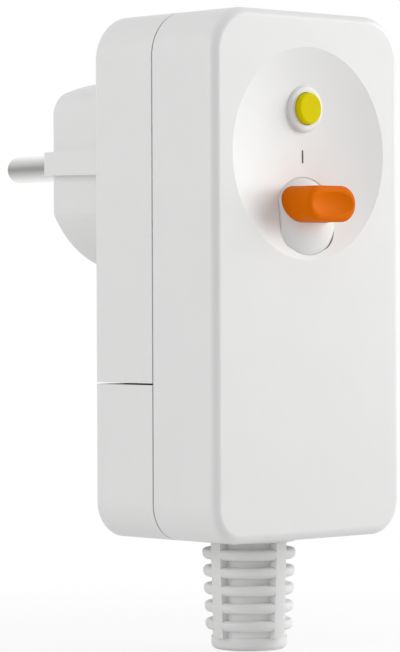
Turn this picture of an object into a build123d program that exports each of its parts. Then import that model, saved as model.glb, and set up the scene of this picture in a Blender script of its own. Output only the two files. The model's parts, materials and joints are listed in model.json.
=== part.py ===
from build123d import *
import math
import os

os.makedirs("parts", exist_ok=True)

# Plug-in residual current breaker: a two-part casing with an earthed plug on its back.
# X runs across the width, -Y is the front, +Z is up. The origin lies on the plug's end
# face, midway between its pins. Sizes are in millimetres and angles in degrees.

# Casing
casing_width = 45.6
casing_depth = 30.6
casing_height = 91.0
casing_above_plug = 25.5
seam_setback = 15.3
wall = 2.0
top_corner = 8.0
bottom_corner = 6.3
front_round = 1.6
rear_round = 1.5
seam_gap = 0.3
lip_depth = 2.0
lip_thickness = 1.0
lip_clearance = 0.15
cover_height = 27.0
partition_wall = 1.5
lip_notch = 5.0
lead_notch_width = 7.0
lead_notch_depth = 8.5

# Plug
plug_length = 18.0
plug_radius = 18.75
plug_half_width = 16.65
plug_top = 15.65
plug_top_radius = 40.0
plug_top_blend = 4.5
plug_wall = 2.2
plug_face_wall = 3.0
plug_edge_round = 0.8
rib_height = 4.8
rib_end_height = 4.1
rib_above_plug = 0.3
rib_proud = 2.2
rib_end_round = 0.8
pin_radius = 2.4
pin_length = 19.0
pin_spacing = 19.0
pin_shank = 12.0
pin_shank_radius = 1.8
pin_flange_radius = 3.6
pin_flange_depth = 1.6
pin_tip_round = 1.6
carrier_plate_depth = 4.0
clip_width = 5.0
clip_thickness = 0.8
clip_length = 14.0
clip_groove_depth = 1.4
clip_fit = 0.15
clip_end_gap = 1.0
clip_leg_z = 11.0
strap_width = 5.0
strap_lap = 0.8

# Dish, button and lever on the front
dish_radius = 18.4
dish_depth = 1.7
dish_above_plug = 1.0
dish_pad_margin = 1.4
button_above_plug = 8.8
button_radius = 2.75
button_clearance = 0.12
button_proud = 0.4
button_edge_round = 0.4
button_travel = 1.2
button_boss_radius = 4.1
boss_setback = 0.6
boss_edge_round = 0.6
button_guide_radius = 5.4
button_guide_length = 5.0
button_shoulder = 0.6
retainer_depth = 1.0
button_flange_radius = 3.9
button_flange_depth = 1.0
button_stem_radius = 1.2
button_stem_length = 3.2
slide_clearance = 0.3
spring_fit = 0.05
test_strip_length = 9.4
test_strip_width = 3.0
test_strip_lap = 1.6
test_contact_gap = 1.6
axle_below_plug = 10.6
axle_behind_front = 9.1
axle_radius = 1.2
axle_half_length = 8.5
ear_inner = 6.9
ear_thickness = 1.8
ear_reach = 2.6
running_fit = 0.05
lever_width = 12.0
lever_height = 6.2
lever_above_axle = 2.9
lever_reach = 5.7
lever_tip_round = 1.0
lever_stem_width = 9.0
lever_stem_height = 3.6
thumb_half_width = 4.9
thumb_half_height = 2.1
thumb_depth = 0.7
lever_travel = 26.0
hub_radius = 3.0
hub_half_width = 5.3
tail_length = 6.0
tail_offset = 1.4
tail_roller_radius = 1.2
tail_half_width = 2.5
shutter_radius = 10.6
shutter_crown = 1.9
shutter_thickness = 1.2
shutter_cheek = 0.8
shutter_clearance = 0.1
shutter_below = 42.0
shutter_lap = 9.0
slot_width = 13.0
slot_height = 11.3
slot_corner = 3.4
slot_above_axle = 0.7
mark_above_plug = 0.55
mark_height = 2.3
mark_width = 0.4
mark_depth = 0.3

# Cable boot
boot_radius_top = 8.3
boot_radius_end = 7.5
boot_length = 19.5
boot_core_radius = 6.4
boot_bore_radius = 4.4
boot_slot_count = 6
boot_slot_pitch = 3.1
boot_slot_height = 1.2
boot_first_slot = 0.6
boot_pillar = 2.3
boot_ring_round = 0.8
boot_collar_radius = 6.65
boot_neck_radius = 6.6
boot_flange_radius = 8.6
boot_flange_depth = 2.2
boot_fit = 0.1
boot_end_round = 0.9

# Switching mechanism
base_thickness = 2.0
base_half_width = 18.0
base_below_top = 5.5
base_below_plug = 19.0
base_notch = 17.2
carriage_half_width = 9.0
carriage_depth = 7.7
carriage_height = 10.2
carriage_above_axle = 3.8
carriage_travel = 2.6
carriage_corner = 0.8
carriage_lug_inset = 1.2
carriage_lug_depth = 3.0
rest_gap = 0.15
guide_radius = 1.25
guide_spread = 11.0
guide_lug_radius = 2.4
contact_spread = 6.0
contact_radius = 1.5
contact_depth = 0.8
contact_gap = 0.2
bridge_width = 3.6
strip_thickness = 0.6
contact_pitch = 6.4
supply_leg_width = 3.0
supply_lap = 3.0
strip_neck = 2.0
load_strip_width = 2.0
load_turn_above_core = 7.0
load_core_x = 1.3
load_core_width = 1.3
load_exit_above_terminal = 5.1

# Trip coil, latch and current transformer
coil_below_top = 10.1
coil_radius = 4.6
coil_length = 11.0
coil_centre_x = -6.0
yoke_thickness = 1.1
bobbin_flange = 1.0
bobbin_radius = 2.4
plunger_radius = 1.3
plunger_proud = 2.2
plunger_length = 11.0
winding_inset = 0.4
latch_arm = 6.0
latch_thickness = 1.6
latch_width = 2.4
latch_post_radius = 1.0
latch_arm_over = 1.5
latch_nose_gap = 0.6
latch_hub_radius = 2.2
toroid_radius = 5.2
toroid_bore = 2.6
toroid_height = 7.0
winding_thickness = 0.5
winding_sweep = 70.0

# Circuit board and its components
board_width = 25.0
board_height = 13.6
board_thickness = 1.6
board_below_plug = 28.8
board_standoff = 4.4
board_post_radius = 1.8
board_post_spread = 9.0
board_corner = 1.0
capacitor_radius = 2.2
capacitor_length = 8.0
capacitor_x = -6.0
resistor_radius = 1.1
resistor_length = 6.5
resistor_x = 7.5
varistor_radius = 3.0
varistor_thickness = 2.2
varistor_x = 1.0
chip_length = 5.0
chip_width = 4.0
chip_height = 1.5

# Terminals and cord clamp
terminal_spacing = 11.6
terminal_width = 6.4
terminal_height = 9.0
terminal_depth = 6.2
terminal_below_cover_top = 6.5
terminal_base_depth = 2.4
terminal_hole_radius = 1.7
terminal_post_radius = 2.4
terminal_tab_width = 4.0
terminal_corner = 0.5
terminal_screw_grip = 2.4
terminal_screw_radius = 1.5
clamp_above_bottom = 8.9
clamp_half_width = 13.0
clamp_height = 6.0
clamp_thickness = 2.6
clamp_screw_spread = 10.0
clamp_rise = 3.2
clamp_setback = 2.2
clamp_arch_foot = 7.4
clamp_arch_top = 4.6

# Screws
screw_radius = 1.25
screw_head_radius = 2.3
screw_head_depth = 1.8
screw_boss_radius = 2.6
screw_head_clearance = 0.2
housing_screw_x = 15.8
housing_screw_below_top = 6.9
housing_screw_above_cover = 4.9
cover_screw_x = 16.6
cover_screw_above_bottom = 8.5
thread_length = 6.0
screw_tip_room = 0.6
screw_slot = 0.6

# Spring wire
button_spring_radius = 2.5
button_spring_wire = 0.4
button_spring_turns = 3
carriage_spring_radius = 2.6
carriage_spring_wire = 0.5
carriage_spring_turns = 4

# Places worked out from the sizes above
casing_back = -plug_length
casing_front = casing_back - casing_depth
casing_top = casing_above_plug
casing_bottom = casing_top - casing_height
seam_y = casing_back - seam_setback
front_edge = seam_y - seam_gap / 2
rear_edge = seam_y + seam_gap / 2
cover_top = casing_bottom + cover_height
inner_front = casing_front + wall
inner_back = casing_back - wall
pad_back = inner_front + dish_depth
dish_sphere = (dish_radius**2 + dish_depth**2) / (2 * dish_depth)
guide_back = pad_back + button_guide_length
shoulder_y = pad_back - button_shoulder
flange_front = shoulder_y + rest_gap
flange_back = flange_front + button_flange_depth
retainer_front = guide_back - retainer_depth
axle_y = casing_front + axle_behind_front
axle_z = -axle_below_plug
lever_z = axle_z + lever_above_axle
thumb_round = (thumb_half_height**2 + thumb_depth**2) / (2 * thumb_depth)
thumb_length = thumb_half_width * thumb_round / thumb_half_height
shutter_half_width = slot_width / 2 - shutter_clearance
shutter_inner = shutter_radius - shutter_crown - shutter_thickness
shutter_above = shutter_below + lever_travel + shutter_lap
lever_tip = casing_front - lever_reach
thumb_y = lever_tip - thumb_round + thumb_depth
mark_floor = casing_front + dish_depth + mark_depth
base_back = inner_back - rest_gap
base_front = base_back - base_thickness
roller_y = axle_y + tail_offset
roller_z = axle_z + tail_length
carriage_front = roller_y + tail_roller_radius + rest_gap
carriage_back = carriage_front + carriage_depth
carriage_low = axle_z + carriage_above_axle
carriage_mid = carriage_low + carriage_height / 2
carriage_top = carriage_low + carriage_height
bridge_back = carriage_back + strip_thickness
moving_face = bridge_back + contact_depth
fixed_face = moving_face + contact_gap
strip_front = fixed_face + contact_depth
strip_back = strip_front + strip_thickness
contact_low = carriage_mid - contact_pitch / 2
contact_high = carriage_mid + contact_pitch / 2
coil_y = (carriage_front + base_front) / 2
coil_z = casing_top - coil_below_top
coil_end = coil_centre_x + coil_length / 2
plunger_end = coil_end + yoke_thickness + plunger_proud
latch_x = plunger_end + rest_gap + latch_width / 2
latch_z = coil_z - latch_arm
latch_nose_z = carriage_top + latch_nose_gap
toroid_y = (strip_front + strip_back) / 2
toroid_z = (cover_top + partition_wall - base_below_plug) / 2
load_turn_z = toroid_z + load_turn_above_core
board_front = inner_front + board_standoff
board_back = board_front + board_thickness
board_z = -board_below_plug
terminal_z = cover_top - terminal_below_cover_top
load_exit_z = terminal_z + load_exit_above_terminal
terminal_front = seam_y + rest_gap
terminal_back = terminal_front + terminal_depth
terminal_base_front = terminal_front - terminal_base_depth
tab_top = load_exit_z + load_strip_width / 2
tab_low = terminal_z - terminal_tab_width / 2
clamp_z = casing_bottom + clamp_above_bottom
screw_top_z = casing_top - housing_screw_below_top
screw_low_z = cover_top + housing_screw_above_cover
cover_screw_z = casing_bottom + cover_screw_above_bottom
base_top = casing_top - base_below_top
clamp_front = seam_y + clamp_setback
pin_x = pin_spacing / 2
supply_leg_z = pin_shank_radius + rest_gap + strip_thickness / 2
pin_base = -pin_shank
carrier_front = -plug_face_wall - rest_gap - carrier_plate_depth
clip_top_floor = plug_top - clip_groove_depth
clip_low_floor = plug_radius - clip_groove_depth
strap_y = -clip_length - clip_thickness - rest_gap
strap_low_y = inner_back - rest_gap
housing_screw_places = [
    (-housing_screw_x, screw_top_z),
    (housing_screw_x, screw_top_z),
    (-housing_screw_x, screw_low_z),
    (housing_screw_x, screw_low_z),
]
cover_screw_places = [(-cover_screw_x, cover_screw_z), (cover_screw_x, cover_screw_z)]
clamp_screw_places = [(-clamp_screw_spread, clamp_z), (clamp_screw_spread, clamp_z)]
terminal_places = {"line": -terminal_spacing, "earth": 0, "neutral": terminal_spacing}
pole_sides = {"line": -1, "neutral": 1}


def facing(y):
    """Plane square to Y: its X is the width, its Y is height, and extrusion runs to the front."""
    return Plane.XZ.offset(-y)


def across(x):
    """Plane square to X: its X is Y, its Y is height, and extrusion runs to +X."""
    return Plane.YZ.offset(x)


def casing_face(inset):
    """Front view of the casing, drawn in by an inset."""
    with BuildSketch() as outline:
        with Locations((0, (casing_top + casing_bottom) / 2)):
            Rectangle(casing_width - 2 * inset, casing_height - 2 * inset)
        fillet(outline.vertices().group_by(Axis.Y)[-1], top_corner - inset)
        fillet(outline.vertices().group_by(Axis.Y)[0], bottom_corner - inset)
    return outline.sketch


def plug_face(inset):
    """End view of the plug, drawn in by an inset: round below, flat sides, a low arch on top."""
    with BuildSketch() as outline:
        Circle(plug_radius - inset)
        with Locations((0, plug_radius / 2)):
            Rectangle(2 * plug_radius, plug_radius)
        with Locations((0, plug_top - plug_top_radius)):
            Circle(plug_top_radius - inset, mode=Mode.INTERSECT)
        Rectangle(2 * (plug_half_width - inset), 2 * plug_radius, mode=Mode.INTERSECT)
        fillet(outline.vertices().group_by(Axis.Y)[-1], plug_top_blend - inset)
    return outline.sketch


def shutter_profile(grow):
    """Half section of the shutter's crowned drum about the axle, grown by a clearance."""
    crest = shutter_radius + grow
    edge = crest - shutter_crown
    reach = shutter_half_width + grow
    with BuildSketch() as profile:
        with BuildLine():
            ThreePointArc((-reach, edge), (0, crest), (reach, edge))
            Polyline((reach, edge), (reach, 0), (-reach, 0), (-reach, edge))
        make_face()
    return profile.sketch


def spring(name, radius, wire, turns, start, length, direction):
    """Compression spring: one unbroken round wire on a helix."""
    pitch = (length - wire) / turns
    print(f"{name}: least gap between its turns {pitch - wire:.2f} mm")
    begin = Vector(start) + Vector(direction) * wire / 2
    path = Helix(pitch, length - wire, radius, center=begin, direction=direction)
    with BuildPart() as coil:
        with BuildSketch(Plane(path @ 0, z_dir=path % 0)):
            Circle(wire / 2)
        sweep(path=path, is_frenet=True)
    return coil


def screws(places, head_y, length):
    """Group of slotted pan-head screws along Y, driven from the back."""
    with BuildPart() as group:
        with BuildSketch(facing(head_y)):
            with Locations(*places):
                Circle(screw_head_radius)
        extrude(amount=screw_head_depth)
        fillet(group.edges().group_by(Axis.Y)[-1], screw_head_depth / 4)
        with BuildSketch(facing(head_y - screw_head_depth)):
            with Locations(*places):
                Circle(screw_radius)
        extrude(amount=length)
        chamfer(group.edges().group_by(Axis.Y)[0], screw_radius / 3)
        with BuildSketch(facing(head_y)):
            with Locations(*places):
                Rectangle(2 * screw_head_radius, screw_slot)
        extrude(amount=screw_head_depth / 2, mode=Mode.SUBTRACT)
    return group


def write(piece, name):
    """Label a finished piece and write its file."""
    piece.part.label = name
    export_step(piece.part, f"parts/{name}.step")


outer_face = casing_face(0)
wall_face = casing_face(wall)
lip_outer_face = casing_face(wall + lip_clearance)
lip_inner_face = casing_face(wall + lip_thickness)
plug_outer_face = plug_face(0)
plug_inner_face = plug_face(plug_wall)
axle_plane = Plane(origin=(0, axle_y, axle_z), x_dir=(1, 0, 0), z_dir=(0, 0, 1))
axle_axis = Axis((0, axle_y, axle_z), (1, 0, 0))

# Boss round the test button, moulded on the front shell
with BuildPart() as button_boss:
    with BuildSketch(facing(pad_back)):
        with Locations((0, button_above_plug)):
            Circle(button_boss_radius)
    extrude(amount=pad_back - casing_front - boss_setback)
    fillet(button_boss.edges().group_by(Axis.Y)[0], boss_edge_round)

# Front shell: dish, button guide, lever slot, axle ears, posts and seam lip
with BuildPart() as front_shell:
    with BuildSketch(facing(front_edge)):
        add(outer_face)
    extrude(amount=front_edge - casing_front)
    fillet(front_shell.faces().sort_by(Axis.Y)[0].edges(), front_round)
    with BuildSketch(facing(front_edge)):
        add(wall_face)
    extrude(amount=front_edge - inner_front, mode=Mode.SUBTRACT)
    with BuildSketch(facing(pad_back)):
        with Locations((0, dish_above_plug)):
            Circle(dish_radius + dish_pad_margin)
    extrude(amount=dish_depth + wall / 2)
    with Locations((0, casing_front - dish_sphere + dish_depth, dish_above_plug)):
        Sphere(dish_sphere, mode=Mode.SUBTRACT)
    add(button_boss.part)
    with BuildSketch(facing(guide_back)):
        with Locations((0, button_above_plug)):
            Circle(button_guide_radius)
    extrude(amount=button_guide_length)
    with BuildSketch(facing(guide_back)):
        with Locations((0, button_above_plug)):
            Circle(button_radius + button_clearance)
    extrude(amount=guide_back - casing_front, mode=Mode.SUBTRACT)
    with BuildSketch(facing(guide_back)):
        with Locations((0, button_above_plug)):
            Circle(button_flange_radius + slide_clearance)
    extrude(amount=guide_back - shoulder_y, mode=Mode.SUBTRACT)
    with BuildSketch(axle_plane):
        add(shutter_profile(shutter_clearance))
    revolve(axis=axle_axis, mode=Mode.SUBTRACT)
    with BuildSketch(facing(pad_back)):
        with Locations((0, axle_z + slot_above_axle)):
            RectangleRounded(slot_width, slot_height, slot_corner)
    extrude(amount=pad_back - casing_front, mode=Mode.SUBTRACT)
    with BuildSketch(facing(mark_floor)):
        with Locations((0, mark_above_plug)):
            Rectangle(mark_width, mark_height)
    extrude(amount=mark_floor - casing_front, mode=Mode.SUBTRACT)
    ear_length = axle_y + ear_reach - inner_front
    for side in (-1, 1):
        with BuildSketch(across(side * ear_inner)):
            with Locations((inner_front + ear_length / 2, axle_z)):
                Rectangle(ear_length, 2 * ear_reach)
        extrude(amount=side * ear_thickness)
    with BuildSketch(across(-ear_inner - ear_thickness)):
        with Locations((axle_y, axle_z)):
            Circle(axle_radius + running_fit)
    extrude(amount=2 * (ear_inner + ear_thickness), mode=Mode.SUBTRACT)
    post_groups = (
        (front_edge, housing_screw_places + cover_screw_places, screw_boss_radius),
        (clamp_front, clamp_screw_places, screw_boss_radius),
        (board_front, [(-board_post_spread, board_z), (board_post_spread, board_z)], board_post_radius),
        (
            terminal_base_front,
            [(-terminal_spacing, terminal_z), (terminal_spacing, terminal_z)],
            terminal_post_radius,
        ),
    )
    for post_back, places, radius in post_groups:
        with BuildSketch(facing(post_back)):
            with Locations(*places):
                Circle(radius)
        extrude(amount=post_back - inner_front + wall / 2)
    for post_back, places in (
        (front_edge, housing_screw_places + cover_screw_places),
        (clamp_front, clamp_screw_places),
    ):
        with BuildSketch(facing(post_back)):
            with Locations(*places):
                Circle(screw_radius + running_fit)
        extrude(amount=thread_length + screw_tip_room, mode=Mode.SUBTRACT)
    with BuildSketch(facing(front_edge)):
        add(wall_face)
        add(lip_inner_face, mode=Mode.SUBTRACT)
    extrude(amount=lip_depth)
    with BuildSketch(facing(rear_edge + lip_depth)):
        add(lip_outer_face)
        add(lip_inner_face, mode=Mode.SUBTRACT)
    extrude(amount=seam_gap + 1.5 * lip_depth)
    with Locations((0, rear_edge + lip_depth / 2, cover_top + partition_wall / 2)):
        Box(casing_width, lip_depth + seam_gap, lip_notch, mode=Mode.SUBTRACT)
    with BuildSketch(Plane.XY.offset(casing_bottom)):
        with Locations((0, seam_y)):
            Circle(boot_neck_radius + boot_fit)
    extrude(amount=2 * wall + lip_thickness, mode=Mode.SUBTRACT)
    with BuildSketch(Plane.XY.offset(casing_bottom + wall)):
        with Locations((0, seam_y)):
            Circle(boot_flange_radius + slide_clearance)
    extrude(amount=boot_flange_depth + lip_thickness, mode=Mode.SUBTRACT)
write(front_shell, "front_shell")

# Rear shell: back of the casing above the terminals, with the plug moulded on it
with BuildPart() as rear_shell:
    with BuildSketch(facing(casing_back)):
        add(outer_face)
    extrude(amount=casing_back - rear_edge)
    fillet(rear_shell.faces().sort_by(Axis.Y)[-1].edges(), rear_round)
    with BuildSketch(facing(inner_back)):
        add(wall_face)
    extrude(amount=inner_back - rear_edge, mode=Mode.SUBTRACT)
    split(bisect_by=Plane.XY.offset(cover_top + seam_gap / 2), keep=Keep.TOP)
    with BuildSketch(Plane.XY.offset(cover_top + seam_gap / 2)):
        with Locations((0, (rear_edge + inner_back) / 2)):
            Rectangle(casing_width - wall, inner_back - rear_edge)
    extrude(amount=partition_wall)
    with BuildSketch(Plane.XY.offset(cover_top)):
        with Locations((0, inner_back - lead_notch_depth / 2)):
            Rectangle(lead_notch_width, lead_notch_depth)
    extrude(amount=2 * partition_wall, mode=Mode.SUBTRACT)
    with BuildSketch(facing(0)):
        add(plug_outer_face)
    extrude(amount=plug_length + wall / 2)
    fillet(rear_shell.faces().sort_by(Axis.Y)[-1].edges(), plug_edge_round)
    rib_root = plug_half_width - plug_wall / 2
    for side in (-1, 1):
        with BuildSketch(across(side * rib_root)):
            with BuildLine():
                Polyline(
                    (0, rib_above_plug + rib_end_height / 2),
                    (casing_back - wall / 2, rib_above_plug + rib_height / 2),
                    (casing_back - wall / 2, rib_above_plug - rib_height / 2),
                    (0, rib_above_plug - rib_end_height / 2),
                    (0, rib_above_plug + rib_end_height / 2),
                )
            make_face()
        extrude(amount=side * (plug_half_width + rib_proud - rib_root))
    rib_ends = [
        edge
        for edge in rear_shell.edges().filter_by(Axis.Z)
        if abs(edge.center().Y) < rest_gap and abs(edge.center().X) > plug_half_width + rest_gap
    ]
    fillet(rib_ends, rib_end_round)
    with BuildSketch(facing(-plug_face_wall)):
        add(plug_inner_face)
    extrude(amount=plug_length + wall - plug_face_wall, mode=Mode.SUBTRACT)
    with BuildSketch(facing(0)):
        with Locations((-pin_x, 0), (pin_x, 0)):
            Circle(pin_radius + running_fit)
    extrude(amount=plug_face_wall, mode=Mode.SUBTRACT)
    for floor, side in ((clip_top_floor, 1), (clip_low_floor, -1)):
        with BuildSketch(facing(0)):
            with Locations((0, side * (floor + plug_radius / 2))):
                Rectangle(clip_width + 2 * clip_fit, plug_radius)
        extrude(amount=clip_length + clip_thickness + clip_fit, mode=Mode.SUBTRACT)
        with BuildSketch(facing(-clip_length + clip_fit)):
            with Locations((0, side * (floor - plug_radius / 4))):
                Rectangle(clip_width + 2 * clip_fit, plug_radius / 2)
        extrude(amount=clip_thickness + 2 * clip_fit, mode=Mode.SUBTRACT)
    with BuildSketch(facing(casing_back - wall / 2)):
        with Locations(*housing_screw_places):
            Circle(screw_boss_radius)
    extrude(amount=casing_back - wall / 2 - rear_edge)
    with BuildSketch(facing(casing_back)):
        with Locations(*housing_screw_places):
            Circle(screw_radius + slide_clearance)
    extrude(amount=casing_back - rear_edge, mode=Mode.SUBTRACT)
    with BuildSketch(facing(casing_back)):
        with Locations(*housing_screw_places):
            Circle(screw_head_radius + screw_head_clearance)
    extrude(amount=screw_head_depth + 2 * screw_head_clearance, mode=Mode.SUBTRACT)
write(rear_shell, "rear_shell")

# Terminal cover: lower back of the casing, taken off to wire the breaker
with BuildPart() as terminal_cover:
    with BuildSketch(facing(casing_back)):
        add(outer_face)
    extrude(amount=casing_back - rear_edge)
    fillet(terminal_cover.faces().sort_by(Axis.Y)[-1].edges(), rear_round)
    with BuildSketch(facing(inner_back)):
        add(wall_face)
    extrude(amount=inner_back - rear_edge, mode=Mode.SUBTRACT)
    split(bisect_by=Plane.XY.offset(cover_top - seam_gap / 2), keep=Keep.BOTTOM)
    with BuildSketch(facing(casing_back - wall / 2)):
        with Locations(*cover_screw_places):
            Circle(screw_boss_radius)
    extrude(amount=casing_back - wall / 2 - rear_edge)
    with BuildSketch(facing(casing_back)):
        with Locations(*cover_screw_places):
            Circle(screw_radius + slide_clearance)
    extrude(amount=casing_back - rear_edge, mode=Mode.SUBTRACT)
    with BuildSketch(facing(casing_back)):
        with Locations(*cover_screw_places):
            Circle(screw_head_radius + screw_head_clearance)
    extrude(amount=screw_head_depth + 2 * screw_head_clearance, mode=Mode.SUBTRACT)
    with BuildSketch(Plane.XY.offset(casing_bottom)):
        with Locations((0, seam_y)):
            Circle(boot_neck_radius + boot_fit)
    extrude(amount=wall, mode=Mode.SUBTRACT)
write(terminal_cover, "terminal_cover")

# Windows of the cable boot: slots that flare outwards between its rings, apart from four pillars
boot_top = casing_bottom - seam_gap
boot_last_slot = boot_first_slot + (boot_slot_count - 1) * boot_slot_pitch
boot_taper = (boot_radius_top - boot_radius_end) / boot_length
with BuildPart() as boot_windows:
    for step in range(boot_slot_count):
        slot_depth = boot_first_slot + step * boot_slot_pitch
        slot_top = boot_top - slot_depth
        slot_low = slot_top - boot_slot_height
        rim = boot_radius_top - boot_taper * slot_depth
        upper_round = boot_ring_round if step else boot_first_slot / 2
        with BuildSketch(Plane((0, seam_y, 0), x_dir=(1, 0, 0), z_dir=(0, -1, 0))):
            with BuildLine():
                Polyline(
                    (rim - boot_ring_round, slot_low),
                    (boot_core_radius, slot_low),
                    (boot_core_radius, slot_top),
                    (rim - upper_round, slot_top),
                )
                RadiusArc((rim - upper_round, slot_top), (rim, slot_top + upper_round), -upper_round)
                Polyline(
                    (rim, slot_top + upper_round),
                    (rim + wall, slot_top + upper_round),
                    (rim + wall, slot_low - boot_ring_round),
                    (rim, slot_low - boot_ring_round),
                )
                RadiusArc((rim, slot_low - boot_ring_round), (rim - boot_ring_round, slot_low), -boot_ring_round)
            make_face()
        revolve(axis=Axis((0, seam_y, 0), (0, 0, 1)))
    for turn in (0, 90):
        with BuildSketch(Plane.XY.offset(boot_top - boot_length)):
            with Locations((0, seam_y)):
                Rectangle(boot_pillar, 4 * boot_radius_top, rotation=turn)
        extrude(amount=boot_length + wall, mode=Mode.SUBTRACT)

# Cable boot: ribbed strain relief with a neck and an inner flange
with BuildPart() as cable_boot:
    with BuildSketch(Plane.XY.offset(boot_top)):
        with Locations((0, seam_y)):
            Circle(boot_radius_top)
    with BuildSketch(Plane.XY.offset(boot_top - boot_length)):
        with Locations((0, seam_y)):
            Circle(boot_radius_end)
    loft()
    add(boot_windows.part, mode=Mode.SUBTRACT)
    with BuildSketch(Plane.XY.offset(boot_top - boot_length)):
        with Locations((0, seam_y)):
            Circle(boot_radius_top)
            Circle(boot_collar_radius, mode=Mode.SUBTRACT)
    extrude(amount=boot_length - boot_last_slot - boot_slot_height, mode=Mode.SUBTRACT)
    fillet(cable_boot.edges().group_by(Axis.Z)[0], boot_end_round)
    with BuildSketch(Plane.XY.offset(boot_top)):
        with Locations((0, seam_y)):
            Circle(boot_neck_radius)
    extrude(amount=wall + seam_gap + boot_fit)
    with BuildSketch(Plane.XY.offset(casing_bottom + wall + boot_fit)):
        with Locations((0, seam_y)):
            Circle(boot_flange_radius)
    extrude(amount=boot_flange_depth)
    with BuildSketch(Plane.XY.offset(boot_top - boot_length)):
        with Locations((0, seam_y)):
            Circle(boot_bore_radius)
    extrude(amount=casing_height, mode=Mode.SUBTRACT)
write(cable_boot, "cable_boot")

# Test button, its spring and the ring that keeps the spring in
with BuildPart() as test_button:
    with BuildSketch(facing(flange_front)):
        with Locations((0, button_above_plug)):
            Circle(button_radius)
    extrude(amount=flange_front - casing_front + button_proud)
    fillet(test_button.edges().group_by(Axis.Y)[0], button_edge_round)
    with BuildSketch(facing(flange_back)):
        with Locations((0, button_above_plug)):
            Circle(button_flange_radius)
    extrude(amount=button_flange_depth)
    with BuildSketch(facing(flange_back + button_stem_length)):
        with Locations((0, button_above_plug)):
            Circle(button_stem_radius)
    extrude(amount=button_stem_length)
write(test_button, "test_button")

button_spring = spring(
    "test_button_spring",
    button_spring_radius,
    button_spring_wire,
    button_spring_turns,
    (0, flange_back + spring_fit, button_above_plug),
    retainer_front - flange_back - 2 * spring_fit,
    (0, 1, 0),
)
write(button_spring, "test_button_spring")

with BuildPart() as spring_retainer:
    with BuildSketch(facing(guide_back)):
        with Locations((0, button_above_plug)):
            Circle(button_flange_radius + slide_clearance - running_fit)
            Circle(button_stem_radius + slide_clearance, mode=Mode.SUBTRACT)
    extrude(amount=retainer_depth)
write(spring_retainer, "spring_retainer")

with BuildPart() as test_contacts:
    stem_end = flange_back + button_stem_length
    first_strip = stem_end + button_travel + rest_gap + strip_thickness
    for side, strip_y in ((-1, first_strip), (1, first_strip + test_contact_gap)):
        with BuildSketch(facing(strip_y)):
            with Locations((side * test_strip_length / 2 - side * test_strip_lap, button_above_plug)):
                Rectangle(test_strip_length, test_strip_width)
        extrude(amount=strip_thickness)
        with BuildSketch(facing(strip_y)):
            with Locations((side * (test_strip_length - test_strip_lap - strip_thickness / 2), button_above_plug)):
                Rectangle(strip_thickness, test_strip_width)
        extrude(amount=strip_y - pad_back - rest_gap)
write(test_contacts, "test_contacts")

# Toggle lever: handle, stem, hub and the tail that moves the contacts
handle_root = axle_y - shutter_inner + wall / 2
with BuildPart() as toggle_lever:
    with BuildSketch(facing(handle_root)):
        with Locations((0, lever_z)):
            SlotOverall(lever_width, lever_height)
    extrude(amount=handle_root - lever_tip)
    fillet(toggle_lever.edges().group_by(Axis.Y)[0], lever_tip_round)
    with BuildSketch(Plane((0, thumb_y, lever_z), x_dir=(1, 0, 0), z_dir=(0, 0, 1))):
        with BuildLine():
            EllipticalCenterArc((0, 0), thumb_length, thumb_round, arc_size=180)
            Line((-thumb_length, 0), (thumb_length, 0))
        make_face()
    revolve(axis=Axis((0, thumb_y, lever_z), (1, 0, 0)), mode=Mode.SUBTRACT)
    with BuildSketch(facing(axle_y)):
        with Locations((0, (lever_z + axle_z) / 2)):
            Rectangle(lever_stem_width, lever_stem_height)
    extrude(amount=axle_y - handle_root + running_fit)
    with BuildSketch(across(-hub_half_width)):
        with Locations((axle_y, axle_z)):
            Circle(hub_radius)
    extrude(amount=2 * hub_half_width)
    with BuildSketch(across(-tail_half_width)):
        with BuildLine():
            Polyline(
                (axle_y - hub_radius / 2, axle_z),
                (axle_y + tail_offset / 4, axle_z),
                (roller_y + tail_roller_radius, roller_z),
                (roller_y - tail_roller_radius, roller_z),
                (axle_y - hub_radius / 2, axle_z),
            )
        make_face()
        with Locations((roller_y, roller_z)):
            Circle(tail_roller_radius)
    extrude(amount=2 * tail_half_width)
    with BuildSketch(across(-hub_half_width)):
        with Locations((axle_y, axle_z)):
            Circle(axle_radius + running_fit)
    extrude(amount=2 * hub_half_width, mode=Mode.SUBTRACT)
write(toggle_lever, "toggle_lever")

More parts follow.
